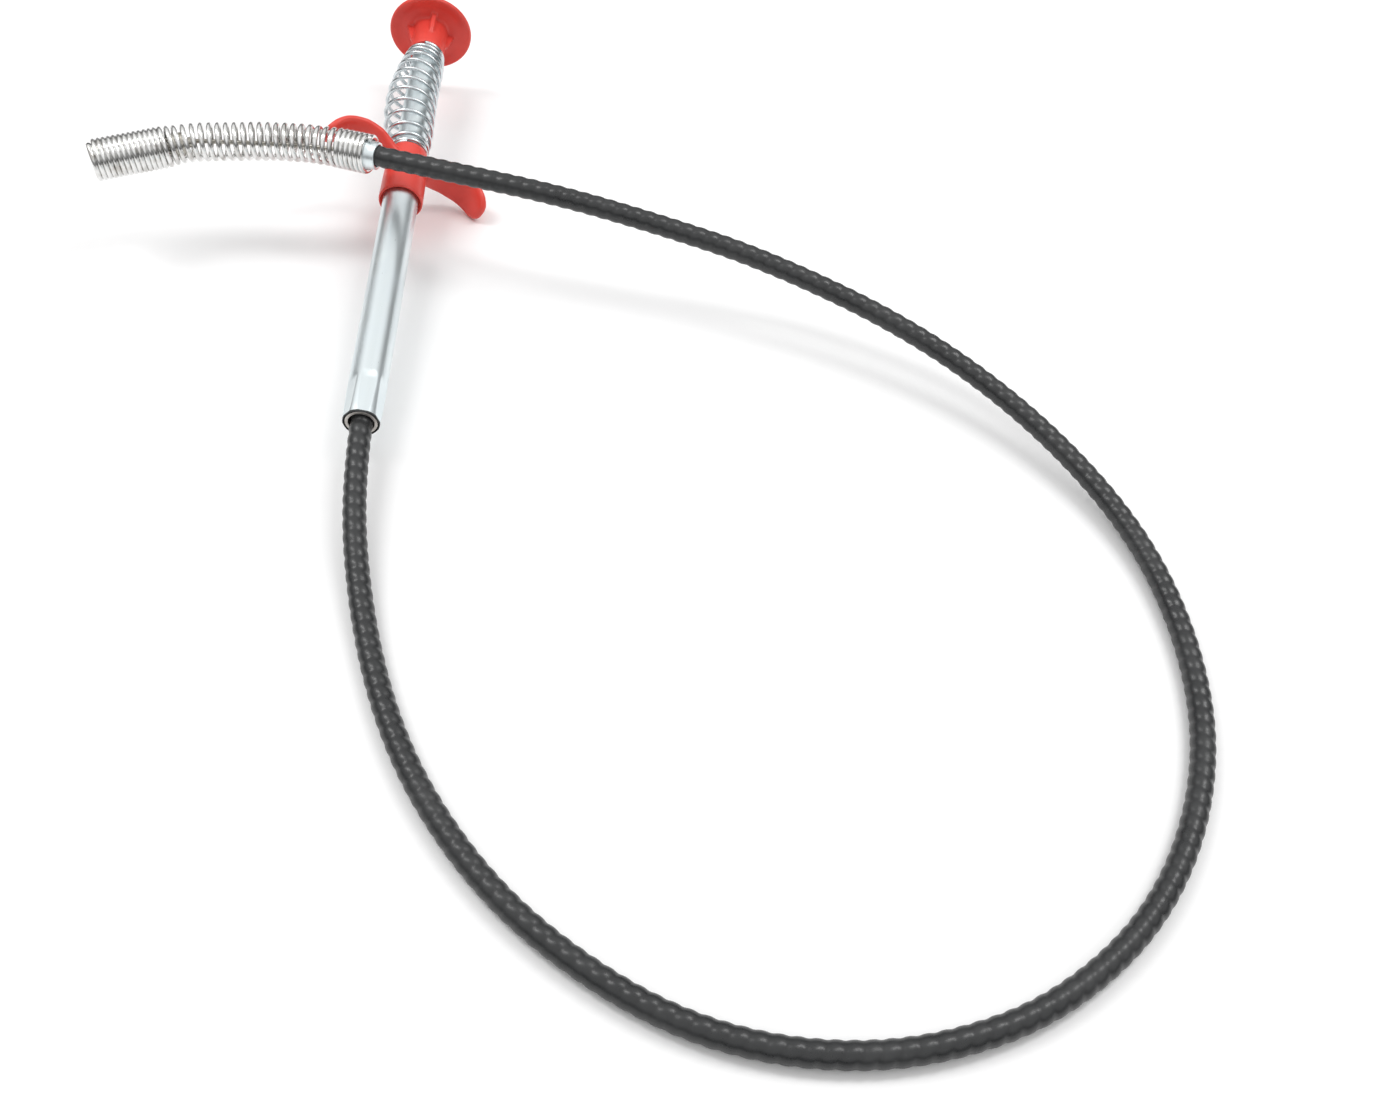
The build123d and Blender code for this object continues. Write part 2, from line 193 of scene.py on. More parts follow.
# The return spring's turns, as (distance up the handle, radius to the wire's middle).
SPRING_TURNS = [
    (126.15, 5.85), (127.0, 5.9), (129.4, 6.6), (134.2, 7.6), (140.3, 8.2), (146.5, 8.5),
    (152.8, 8.6), (158.6, 8.5), (164.2, 8.2), (170.1, 7.85), (175.2, 7.4), (178.7, 6.9),
    (181.2, 6.4), (183.3, 6.05),
]

FERRULE_DEPTH = 5              # how far the shaft reaches into the ferrule
FERRULE_SIDES = 64
# The ferrule's section, as (radius, distance from its open end).
FERRULE_OUTLINE = [
    (4.55, 0), (4.65, 2.4), (5.0, 3.4), (5.0, 13), (1.6, 13), (1.6, 5.05), (3.56, 5.0), (3.56, 0),
]

HEAD_WIRE = 0.84               # radius
HEAD_START = 0.9               # the wire's first and last middles, from the line's ends
HEAD_END = 0.8
ROOT_LENGTH = 11.4             # the close coils on the ferrule
TIP_LENGTH = 23.5              # the close-wound tip
ROOT_TURNS = 6
OPEN_TURNS = 22
TIP_TURNS = 14
ROOT_RADIUS = 5.85             # radii to the wire's middle
OPEN_RADIUS = 5.6
TIP_RADIUS = 6.1
WIRE_SIDES = 14

# ---- Mesh helpers -------------------------------------------------------------


def handle_points(points):
    """The places, in metres, of points drawn in millimetres in the handle's frame."""
    points = np.asarray(points, float) * MM
    handle_axes = np.array([WING_WAY, WING_FACE, AXIS])
    return MOUTH + points @ handle_axes


def new_piece(name, points, faces):
    """A smooth-shaded mesh object."""
    mesh = bpy.data.meshes.new(name)
    mesh.from_pydata([tuple(p) for p in points], [], [tuple(int(i) for i in f) for f in faces])
    mesh.update()
    mesh.shade_smooth()
    piece = bpy.data.objects.new(name, mesh)
    bpy.context.scene.collection.objects.link(piece)
    return piece


def skin(name, rings, ends="closed", wrap=None):
    """A mesh over rings of points, whose ends are closed by fans or joined to each other."""
    rings = np.asarray(rings, float)
    count, sides = rings.shape[:2]
    index = np.arange(count * sides).reshape(count, sides)
    lower = index if ends == "joined" else index[:-1]
    upper = np.roll(index, -1, axis=0) if ends == "joined" else index[1:]
    quads = np.stack([lower, np.roll(lower, -1, 1), np.roll(upper, -1, 1), upper], -1)
    faces = [tuple(q) for q in quads.reshape(-1, 4)]
    points = rings.reshape(-1, 3)
    if ends == "closed":
        points = np.vstack([points, rings[0].mean(0), rings[-1].mean(0)])
        foot, head = count * sides, count * sides + 1
        for i in range(sides):
            j = (i + 1) % sides
            faces.append((foot, index[0, j], index[0, i]))
            faces.append((head, index[-1, i], index[-1, j]))
    piece = new_piece(name, points, faces)
    if wrap is not None:
        values = np.asarray(wrap, float).reshape(-1, 3)
        if ends == "closed":
            values = np.vstack([values, values[0], values[-1]])
        attribute = piece.data.attributes.new("wrap", "FLOAT_VECTOR", "POINT")
        attribute.data.foreach_set("vector", values.astype(np.float32).ravel())
    return piece


def lathe(name, profile, sides=96):
    """A turned shape on the handle's axis, from a closed outline of (radius, distance up)."""
    profile = np.asarray(profile, float)
    turn = np.linspace(0, 2 * np.pi, sides, endpoint=False)
    rings = np.stack([
        profile[:, :1] * np.cos(turn),
        profile[:, :1] * np.sin(turn),
        np.repeat(profile[:, 1:], sides, 1),
    ], -1)
    return skin(name, handle_points(rings), "joined", wrap=rings * MM)


def soften(profile, radius, steps=4):
    """A closed outline with each corner rounded, by a radius or one radius per corner."""
    profile = [np.array(p, float) for p in profile]
    count = len(profile)
    radii = radius if hasattr(radius, "__len__") else [radius] * count
    rounded = []
    for i, corner in enumerate(profile):
        back = profile[i - 1] - corner
        ahead = profile[(i + 1) % count] - corner
        reach = min(radii[i], 0.45 * np.linalg.norm(back), 0.45 * np.linalg.norm(ahead))
        if reach == 0:
            rounded.append(corner)
            continue
        start = corner + back / np.linalg.norm(back) * reach
        end = corner + ahead / np.linalg.norm(ahead) * reach
        for t in np.linspace(0, 1, steps + 1):
            rounded.append((1 - t) ** 2 * start + 2 * t * (1 - t) * corner + t ** 2 * end)
    return np.array(rounded)


def unit(vectors):
    """Vectors at length 1."""
    return vectors / np.linalg.norm(vectors, axis=-1, keepdims=True)


def local_turn(lean):
    """The angle, in the handle's frame, of a way that leans from straight up to the right."""
    return lean - math.pi / 2 - WING_TURN


def line_frames(line):
    """Tangent, normal and side at each point of a line, carried along without twisting."""
    tangents = unit(np.gradient(line, axis=0))
    first = np.cross(tangents[0], (0.0, 0.0, 1.0))
    normals = [unit(np.cross(first, tangents[0]))]
    for tangent in tangents[1:]:
        carried = normals[-1] - tangent * (normals[-1] @ tangent)
        normals.append(unit(carried))
    normals = np.array(normals)
    return tangents, normals, np.cross(tangents, normals)


def distances(line):
    """Distance along a line to each of its points."""
    steps = np.linalg.norm(np.diff(line, axis=0), axis=1)
    return np.concatenate([[0], np.cumsum(steps)])


def rod_along(name, line, turn, radius):
    """A closed rod along a line, in metres, with a radius for each point and each turn."""
    _, normals, across = line_frames(line)
    spokes = normals[:, None] * np.cos(turn)[:, None] + across[:, None] * np.sin(turn)[:, None]
    along = np.broadcast_to(distances(line)[:, None], radius.shape)
    wrap = np.stack([radius * np.cos(turn), radius * np.sin(turn), along], -1)
    return skin(name, line[:, None] + spokes * radius[..., None], wrap=wrap)


def wire_along(name, line, radius):
    """A round wire along a line, in metres."""
    turn = np.linspace(0, 2 * np.pi, WIRE_SIDES, endpoint=False)
    return rod_along(name, line, turn, np.full((len(line), WIRE_SIDES), radius))


def nurbs_line(points):
    """Points read from an open NURBS spline of order 3 with these control points."""
    curve = bpy.data.curves.new("route", "CURVE")
    curve.dimensions = "3D"
    curve.resolution_u = 48
    spline = curve.splines.new("NURBS")
    spline.points.add(len(points) - 1)
    for control, place in zip(spline.points, points):
        control.co = (*place, 1.0)
    spline.order_u = 3
    spline.use_endpoint_u = True
    holder = bpy.data.objects.new("route", curve)
    bpy.context.scene.collection.objects.link(holder)
    mesh = bpy.data.meshes.new_from_object(holder)
    line = np.array([v.co for v in mesh.vertices], float)
    bpy.data.objects.remove(holder)
    bpy.data.meshes.remove(mesh)
    bpy.data.curves.remove(curve)
    return line


def evenly(line, step):
    """The same line with its points evenly spaced."""
    along = distances(line)
    marks = np.linspace(0, along[-1], max(2, round(along[-1] / step) + 1))
    return np.stack([np.interp(marks, along, line[:, k]) for k in range(3)], -1)


def smooth_steps(values, width):
    """A running mean over a list of numbers, with its ends held."""
    padded = np.pad(values, width, mode="reflect", reflect_type="odd")
    return np.convolve(padded, np.ones(2 * width + 1) / (2 * width + 1), mode="valid")


def wound(line, along, turns, radius, hand, per_turn):
    """The centre line of a wire wound round a line, right-handed (1) or left-handed (-1).

    along, turns and radius are lists that go together: at each distance along the line, how
    many turns have been made, and how far the wire's centre is from the line.
    """
    marks = distances(line)
    _, normals, across = line_frames(line)
    steps = np.linspace(turns[0], turns[-1], int((turns[-1] - turns[0]) * per_turn) + 1)
    place = smooth_steps(np.interp(steps, turns, along), per_turn // 3)
    reach = smooth_steps(np.interp(steps, turns, radius), per_turn // 2)
    angle = hand * 2 * np.pi * steps

    def at(columns):
        """What the line has at each step of the wire."""
        return np.stack([np.interp(place, marks, columns[:, k]) for k in range(3)], -1)

    spokes = at(normals) * np.cos(angle)[:, None] + at(across) * np.sin(angle)[:, None]
    return at(line) + spokes * reach[:, None]


def bake_modifiers(piece):
    """The piece's modifiers become its mesh."""
    bpy.context.view_layer.update()
    graph = bpy.context.evaluated_depsgraph_get()
    mesh = bpy.data.meshes.new_from_object(piece.evaluated_get(graph))
    piece.modifiers.clear()
    piece.data = mesh
    mesh.shade_smooth()


def join_solids(name, pieces, smoothing):
    """One skin over overlapping closed meshes, with its inner corners filled a little."""
    keeper = pieces[0]
    with bpy.context.temp_override(active_object=keeper, selected_editable_objects=pieces,
                                   object=keeper, selected_objects=pieces):
        bpy.ops.object.join()
    keeper.name = name
    remesh = keeper.modifiers.new("remesh", "REMESH")
    remesh.mode = "VOXEL"
    remesh.voxel_size = MOULDING_VOXEL * MM
    smooth = keeper.modifiers.new("smooth", "SMOOTH")
    smooth.factor = 0.5
    smooth.iterations = smoothing
    bake_modifiers(keeper)
    return keeper


def cut(piece, cutter):
    """Takes a closed mesh out of a piece."""
    boolean = piece.modifiers.new("cut", "BOOLEAN")
    boolean.operation = "DIFFERENCE"
    boolean.solver = "EXACT"
    boolean.object = cutter
    bake_modifiers(piece)
    bpy.data.objects.remove(cutter)


def crease(piece):
    """Smooth shading, but not over sharp edges."""
    piece.data.set_sharp_from_angle(angle=CREASE)


# ---- Materials ----------------------------------------------------------------


class Finish:
    """A material and the few node steps that every finish here is made of."""

    def __init__(self, name, colour, metallic=0.0, roughness=0.4, **more):
        self.material = bpy.data.materials.new(name)
        self.material.use_nodes = True
        self.nodes = self.material.node_tree.nodes
        self.links = self.material.node_tree.links
        self.shader = self.nodes["Principled BSDF"]
        self.shader.inputs["Base Color"].default_value = (*colour, 1)
        self.shader.inputs["Metallic"].default_value = metallic
        self.shader.inputs["Roughness"].default_value = roughness
        for socket, value in more.items():
            self.shader.inputs[socket.replace("_", " ")].default_value = value

    def place(self, source, scale):
        """Coordinates from the object, or from its wrap attribute, at a scale per axis."""
        if source == "wrap":
            found = self.nodes.new("ShaderNodeAttribute")
            found.attribute_name = "wrap"
            output = found.outputs["Vector"]
        else:
            found = self.nodes.new("ShaderNodeTexCoord")
            output = found.outputs["Object"]
        mapping = self.nodes.new("ShaderNodeMapping")
        mapping.vector_type = "POINT"
        mapping.inputs["Scale"].default_value = scale
        self.links.new(output, mapping.inputs["Vector"])
        return mapping.outputs["Vector"]

    def noise(self, place, detail=3.0, distortion=0.0):
        """Clouds, about one for each unit of the coordinates."""
        node = self.nodes.new("ShaderNodeTexNoise")
        node.inputs["Scale"].default_value = 1.0
        node.inputs["Detail"].default_value = detail
        node.inputs["Roughness"].default_value = 0.55
        node.inputs["Distortion"].default_value = distortion
        self.links.new(place, node.inputs["Vector"])
        return node.outputs["Fac"]

    def cells(self, place):
        """The distance to the nearest of scattered points, about one for each unit."""
        node = self.nodes.new("ShaderNodeTexVoronoi")
        node.inputs["Scale"].default_value = 1.0
        self.links.new(place, node.inputs["Vector"])
        return node.outputs["Distance"]

    def attribute(self, name):
        """A number that the mesh carries at each point."""
        node = self.nodes.new("ShaderNodeAttribute")
        node.attribute_name = name
        return node.outputs["Fac"]

    def span(self, value, low, high, to_low=0.0, to_high=1.0):
        """A value from low to high, carried to another span and held at its ends."""
        node = self.nodes.new("ShaderNodeMapRange")
        node.inputs["From Min"].default_value = low
        node.inputs["From Max"].default_value = high
        node.inputs["To Min"].default_value = to_low
        node.inputs["To Max"].default_value = to_high
        self.links.new(value, node.inputs["Value"])
        return node.outputs["Result"]

    def both(self, first, second, operation):
        """Two values joined by a sum or a product."""
        node = self.nodes.new("ShaderNodeMath")
        node.operation = operation
        self.links.new(first, node.inputs[0])
        self.links.new(second, node.inputs[1])
        return node.outputs["Value"]

    def tint(self, share, other):
        """The colour so far goes to another one by a share."""
        node = self.nodes.new("ShaderNodeMix")
        node.data_type = "RGBA"
        # A mix node has a set of sockets for each kind of value, all named A and B.
        factor, colour_a, colour_b = (node.inputs[i] for i in (0, 6, 7))
        mixed = node.outputs[2]
        held = self.shader.inputs["Base Color"]
        if held.links:
            self.links.new(held.links[0].from_socket, colour_a)
        else:
            colour_a.default_value = held.default_value
        colour_b.default_value = (*other, 1)
        self.links.new(share, factor)
        self.links.new(mixed, held)

    def rough(self, value):
        """The roughness follows a value."""
        self.links.new(value, self.shader.inputs["Roughness"])

    def bump(self, height, distance, strength=1.0):
        """Adds relief, in metres, to what there is."""
        node = self.nodes.new("ShaderNodeBump")
        node.inputs["Distance"].default_value = distance
        node.inputs["Strength"].default_value = strength
        self.links.new(height, node.inputs["Height"])
        held = self.shader.inputs["Normal"]
        if held.links:
            self.links.new(held.links[0].from_socket, node.inputs["Normal"])
        self.links.new(node.outputs["Normal"], held)


def zinc_finish():
    """Bright zinc on drawn tube: bluish, with faint lengthwise draw lines and small marks."""
    finish = Finish("zinc", (0.77, 0.835, 0.85), metallic=1.0, roughness=0.24)
    draw = finish.noise(finish.place("wrap", (420, 420, 9)), detail=3)
    cloud = finish.noise(finish.place("wrap", (150, 150, 60)), detail=3)
    marks = finish.cells(finish.place("wrap", (420, 420, 110)))
    finish.tint(finish.span(cloud, 0.42, 0.72, 0, 0.8), (0.73, 0.80, 0.83))
    finish.tint(finish.span(draw, 0.6, 0.8, 0, 0.25), (0.58, 0.64, 0.67))
    finish.tint(finish.span(marks, 0.03, 0.05, 0.5, 0), (0.22, 0.24, 0.25))
    finish.rough(finish.span(finish.both(draw, cloud, "ADD"), 0.7, 1.3, 0.27, 0.4))
    finish.bump(draw, 20 * MICRON, 0.25)
    finish.bump(cloud, 80 * MICRON, 0.3)
    return finish.material


def painted_shade_rim_finish():
    """Near-black painted shade for the tube's rim and the mouth of its bore, faintly mottled."""
    finish = Finish("rim_painted_shade", (0.02, 0.021, 0.022), metallic=0.2, roughness=0.6)
    grain = finish.noise(finish.place("wrap", (1500, 1500, 1500)))
    finish.tint(finish.span(grain, 0.5, 0.75), (0.05, 0.052, 0.055))
    finish.bump(grain, 50 * MICRON)
    return finish.material


def wire_finish(name, colour, shade, roughness):
    """Plated spring wire, with draw lines along it and a little grime."""
    finish = Finish(name, colour, metallic=1.0, roughness=roughness)
    draw = finish.noise(finish.place("wrap", (2600, 2600, 60)), detail=3)
    grime = finish.noise(finish.place("object", (260, 260, 260)), detail=3)
    finish.tint(finish.span(grime, 0.5, 0.78, 0, 0.8), shade)
    finish.rough(finish.span(draw, 0.35, 0.7, roughness * 0.75, roughness * 1.5))
    finish.bump(draw, 20 * MICRON, 0.5)
    return finish.material


def red_finish():
    """Moulded red plastic, satin, with a faint orange-peel and paler rubbed edges."""
    finish = Finish("red_plastic", (0.72, 0.062, 0.045), roughness=0.36, Specular_IOR_Level=0.45,
                    Subsurface_Weight=0.06, Subsurface_Scale=0.002)
    finish.shader.inputs["Subsurface Radius"].default_value = (1.0, 0.25, 0.15)
    cloud = finish.noise(finish.place("object", (70, 70, 70)), detail=3)
    peel = finish.noise(finish.place("object", (1300, 1300, 1300)), detail=2)
    scuff = finish.noise(finish.place("object", (420, 90, 420)), detail=5, distortion=1.2)
    finish.tint(finish.span(cloud, 0.4, 0.7), (0.63, 0.048, 0.036))
    finish.tint(finish.span(scuff, 0.68, 0.82, 0, 0.35), (0.74, 0.16, 0.12))
    finish.rough(finish.span(finish.both(cloud, scuff, "ADD"), 0.7, 1.35, 0.3, 0.5))
    finish.bump(peel, 60 * MICRON, 0.35)
    finish.bump(scuff, 80 * MICRON, 0.25)
    return finish.material


def jacket_finish():
    """Soft black PVC shrunk over a wound coil, with painted shade darkening the grooves, and grey
    dust.
    """
    finish = Finish("black_jacket", (0.02, 0.021, 0.022), roughness=0.32,
                    Specular_IOR_Level=0.5)
    groove = finish.attribute("groove")
    cloud = finish.noise(finish.place("wrap", (130, 130, 60)), detail=3)
    grain = finish.noise(finish.place("wrap", (2200, 2200, 1500)), detail=3)
    dust = finish.noise(finish.place("object", (500, 500, 500)), detail=4)
    finish.tint(finish.span(cloud, 0.4, 0.72), (0.03, 0.031, 0.032))
    # Painted shade: the grooves are darkened, more in some patches than in others.
    groove_painted_shade = finish.span(groove, 0.55, 1.0)
    patchy_shade_strength = finish.span(dust, 0.45, 0.7, 0.2, 0.7)
    finish.tint(finish.both(groove_painted_shade, patchy_shade_strength, "MULTIPLY"), (0.012, 0.012, 0.013))
    finish.tint(finish.span(dust, 0.68, 0.8, 0, 0.25), (0.12, 0.12, 0.12))
    finish.rough(finish.span(finish.both(cloud, grain, "ADD"), 0.7, 1.3, 0.26, 0.42))
    finish.bump(grain, 50 * MICRON, 0.3)
    finish.bump(cloud, 300 * MICRON, 0.3)
    return finish.material


def plain_metal_finish(name, colour, shade, roughness):
    """Turned or drawn metal inside the tool, with stains and fine tool marks."""
    finish = Finish(name, colour, metallic=1.0, roughness=roughness)
    stain = finish.noise(finish.place("object", (320, 320, 320)), detail=4)
    marks = finish.noise(finish.place("object", (900, 5200, 900)), detail=2)
    finish.tint(finish.span(stain, 0.4, 0.72), shade)
    finish.rough(finish.span(stain, 0.3, 0.75, roughness * 0.8, roughness * 1.4))
    finish.bump(marks, 30 * MICRON, 0.4)
    return finish.material


def nylon_finish():
    """Black nylon, slightly mottled."""
    finish = Finish("black_nylon", (0.022, 0.022, 0.023), roughness=0.48)
    mottle = finish.noise(finish.place("object", (600, 600, 600)), detail=3)
    finish.tint(finish.span(mottle, 0.45, 0.7), (0.04, 0.04, 0.041))
    finish.bump(mottle, 60 * MICRON, 0.4)
    return finish.material


ZINC = zinc_finish()
RIM_PAINTED_SHADE = painted_shade_rim_finish()
SPRING_STEEL = wire_finish("spring_wire", (0.66, 0.71, 0.73), (0.38, 0.41, 0.43), 0.22)
HEAD_STEEL = wire_finish("head_wire", (0.79, 0.79, 0.78), (0.38, 0.36, 0.33), 0.18)
CLAW_STEEL = plain_metal_finish("claw_wire", (0.58, 0.56, 0.51), (0.34, 0.31, 0.26), 0.28)
BUSHING_STEEL = plain_metal_finish("bushing_steel", (0.60, 0.57, 0.54), (0.44, 0.41, 0.38), 0.42)
BRASS = plain_metal_finish("brass", (0.62, 0.44, 0.2), (0.36, 0.22, 0.1), 0.32)
RED = red_finish()
JACKET = jacket_finish()
NYLON = nylon_finish()


def dress(piece, material, body, nodes):
    """Gives a new piece its material and body, and hides the CAD nodes that it stands for."""
    piece.data.materials.clear()
    piece.data.materials.append(material)
    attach(piece, body)
    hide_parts(*nodes)


# ---- Flexible shaft -----------------------------------------------------------


def build_shaft():
    """The jacket's ribbed skin: one round rib wound left-handed, with a groove between turns."""
    line = evenly(nurbs_line(ROUTE), RIB_PITCH * MM / RINGS_PER_RIB)
    turn = np.linspace(0, 2 * np.pi, SHAFT_SIDES, endpoint=False)
    phase = (distances(line)[:, None] / (RIB_PITCH * MM) + turn / (2 * np.pi)) % 1.0
    groove = (0.5 + 0.5 * np.cos(2 * np.pi * phase)) ** RIB_SHARPNESS
    shaft = rod_along("flexible_shaft", line, turn, (SHAFT_RADIUS - RIB_DEPTH * groove) * MM)
    # The groove values also drive the jacket's painted shade in the grooves; the end caps' middles
    # take the full value.
    fan_centres = [1, 1]
    values = np.concatenate([groove.ravel(), fan_centres]).astype(np.float32)
    attribute = shaft.data.attributes.new("groove", "FLOAT", "POINT")
    attribute.data.foreach_set("value", values)
    dress(shaft, JACKET, "handle", ["shaft_jacket"])
    return shaft, line


# ---- Handle -------------------------------------------------------------------


def build_tube():
    """The handle's tube: its six crimped flats fade out up the tube, and its mouth is cut."""
    turn = np.linspace(0, 2 * np.pi, TUBE_SIDES, endpoint=False)
    off_flat = (turn - local_turn(CRIMP_LEAN)) % (math.pi / 3)
    off_flat = np.minimum(off_flat, math.pi / 3 - off_flat)
    flat = CRIMP_FLATS / np.cos(off_flat)
    mouth_rings = [0.12, 0.4, 0.7, 1.0, 1.4, 1.9, 2.4, 3.0]
    crimp_rings = [*np.linspace(4, 13, 10), *np.linspace(13.4, 18, 16)]
    plain_rings = [*np.linspace(20, TUBE_LENGTH - 1, 52), TUBE_LENGTH - 0.3]
    rings = []
    for along in mouth_rings + crimp_rings + plain_rings:
        near_mouth = np.clip((along - CRIMP_MOUTH_START) / CRIMP_MOUTH_FADE, 0, 1)
        pressed = near_mouth * np.clip((CRIMP_TOP - along) / CRIMP_TOP_FADE, 0, 1)
        pressed = pressed ** 2 * (3 - 2 * pressed)
        corner = np.interp(along, *zip(*MOUTH_TAPER))
        radius = corner + (np.minimum(flat, corner) - corner) * pressed
        rings.append((radius, along))
    rings += [(np.full(TUBE_SIDES, radius), along) for radius, along in TUBE_INSIDE]
    points = np.array([
        np.stack([radius * np.cos(turn), radius * np.sin(turn), np.full(TUBE_SIDES, along)], -1)
        for radius, along in rings
    ])
    tube = skin("handle_tube_shell", handle_points(points), "joined", wrap=points * MM)
    dress(tube, ZINC, "handle", ["handle_tube"])
    # Painted shade: the rows of faces at the rim, outside and inside the bore, are near black.
    tube.data.materials.append(RIM_PAINTED_SHADE)
    for face in tube.data.polygons:
        ring = face.index // TUBE_SIDES
        if ring < SHADE_RINGS_OUTSIDE or ring >= len(rings) - SHADE_RINGS_INSIDE:
            face.material_index = 1


def build_bushing():
    """The ring that holds the shaft in the tube's mouth."""
    bushing = lathe("bushing_ring", soften(BUSHING_OUTLINE, 0.25))
    dress(bushing, BUSHING_STEEL, "handle", ["rear_bushing"])


def wing(side):
    """One finger wing: a paddle with round edges, bowed up and hooked back at its tip."""
    controls = np.array([(reach, rise, 0) for reach, rise in WING_MIDDLE])
    middle = evenly(nurbs_line(controls * MM) / MM, WING_STEP)[:, :2]
    along = distances(middle)
    left = along[-1] - along
    narrowest, thinnest = 0.0009, 0.02     # so that the tip doesn't close to a point
    half_width = np.interp(along, *zip(*WING_HALF_WIDTH))
    half_width *= np.sqrt(np.clip(1 - (1 - np.clip(left / WING_TIP, 0, 1)) ** 2, narrowest, 1))
    half_thick = np.interp(along, *zip(*WING_HALF_THICKNESS))
    half_thick *= np.clip(left / WING_TIP_EDGE, thinnest, 1) ** 0.5
    way = unit(np.gradient(middle, axis=0))
    lift = np.stack([-way[:, 1], way[:, 0]], -1)
    turn = np.linspace(0, 2 * np.pi, 48, endpoint=False)
    power = 2 / WING_SQUARENESS
    wide = np.sign(np.cos(turn)) * np.abs(np.cos(turn)) ** power
    thick = np.sign(np.sin(turn)) * np.abs(np.sin(turn)) ** power
    rings = np.stack([
        side * (middle[:, :1] + lift[:, :1] * half_thick[:, None] * thick),
        half_width[:, None] * wide,
        middle[:, 1:] + lift[:, 1:] * half_thick[:, None] * thick,
    ], -1)
    if side > 0:
        rings = rings[:, ::-1]
    return skin("wing", handle_points(rings))


def build_grip():
    """The moulded grip: a sleeve with two wings, filleted where they meet."""
    sleeve = lathe("sleeve", soften(SLEEVE_OUTLINE, SLEEVE_ROUNDING))
    grip = join_solids("finger_grip_moulding", [sleeve, wing(1), wing(-1)], smoothing=7)
    cut(grip, lathe("bore", GRIP_BORE))
    crease(grip)
    dress(grip, RED, "handle", ["finger_grip"])


def button_rib(turn):
    """One rib, from the hub out under the disc, at an angle in the handle's frame."""
    out = np.array([math.cos(turn), math.sin(turn), 0])
    aside = np.array([-math.sin(turn), math.cos(turn), 0])
    steps = np.linspace(0, 2 * np.pi, 24, endpoint=False)
    rings = []
    for reach, foot, thick in RIB_SECTIONS:
        ring = []
        for step in steps:
            wide, high = (math.copysign(abs(share) ** RIB_SQUARENESS, share)
                          for share in (math.cos(step), math.sin(step)))
            along = foot + (RIB_TOP - foot) * (0.5 + 0.5 * high)
            ring.append(out * reach + aside * thick * wide + np.array([0, 0, along]))
        rings.append(ring)
    return skin("rib", handle_points(np.array(rings)))


def build_button():
    """The moulded button: a thin dished disc on a hub, with four ribs under it."""
    solids = [lathe("disc", soften(BUTTON_OUTLINE, BUTTON_ROUNDING))]
    for place in range(BUTTON_RIBS):
        solids.append(button_rib(local_turn(RIB_LEAN) + place * 2 * math.pi / BUTTON_RIBS))
    button = join_solids("button_moulding", solids, smoothing=5)
    cut(button, lathe("socket", [
        (CUTTER_HOLE, SOCKET_START), (PLUNGER_RADIUS, SOCKET_START),
        (PLUNGER_RADIUS, PLUNGER_END), (CUTTER_HOLE, PLUNGER_END),
    ]))
    crease(button)
    dress(button, RED, "plunger", ["thumb_button"])


def build_plunger():
    """The plunger's tube, with its ends eased."""
    outer, bore = PLUNGER_RADIUS, PLUNGER_RADIUS - PLUNGER_WALL
    outline = soften([
        (outer, PLUNGER_START), (outer, PLUNGER_END), (bore, PLUNGER_END), (bore, PLUNGER_START),
    ], 0.2)
    dense = []
    for a, b in zip(outline, np.roll(outline, -1, 0)):
        count = max(1, int(np.linalg.norm(b - a) / PLUNGER_STEP))
        dense += [a + (b - a) * t for t in np.arange(count) / count]
    plunger = lathe("plunger_shell", dense)
    dress(plunger, ZINC, "plunger", ["plunger_tube"])


def build_return_spring():
    """A barrel spring with closed ends, wound left-handed, that bows a little to one side."""
    length = SPRING_END - GRIP_END
    station = np.linspace(GRIP_END, SPRING_END, 90)
    bow = np.sin(np.pi * (station - GRIP_END) / length) ** 1.3
    line = MOUTH + np.outer(station * MM, AXIS) - np.outer(SPRING_BOW * MM * bow, RIGHT)
    places, radii = np.array(SPRING_TURNS).T
    turns = range(len(places))
    wire = wound(line, (places - GRIP_END) * MM, turns, radii * MM, hand=-1, per_turn=40)
    spring = wire_along("return_spring_wire", wire, SPRING_WIRE * MM)
    dress(spring, SPRING_STEEL, "handle", ["return_spring"])
    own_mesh(spring)


# ---- Head ---------------------------------------------------------------------

FERRULE_WAY = unit(np.array(ROUTE[-1]) - np.array(ROUTE[-2]))
FERRULE_BACK = np.array(ROUTE[-1]) - FERRULE_WAY * FERRULE_DEPTH * MM


def build_ferrule():
    """The ferrule crimped on the shaft's end, with a rolled rim."""
    outline = soften(FERRULE_OUTLINE, 0.4)
    turn = np.linspace(0, 2 * np.pi, FERRULE_SIDES, endpoint=False)
    aside = unit(np.cross(FERRULE_WAY, (0, 0, 1.0)))
    above = np.cross(aside, FERRULE_WAY)
    spokes = np.cos(turn)[:, None] * aside + np.sin(turn)[:, None] * above
    rings = np.array([
        FERRULE_BACK + FERRULE_WAY * along * MM + spokes * radius * MM for radius, along in outline
    ])
    wrap = np.array([
        np.stack([radius * np.cos(turn), radius * np.sin(turn), np.full(FERRULE_SIDES, along)], -1)
        for radius, along in outline
    ]) * MM
    ferrule = skin("ferrule_shell", rings, "joined", wrap=wrap)
    dress(ferrule, ZINC, "handle", ["front_ferrule"])


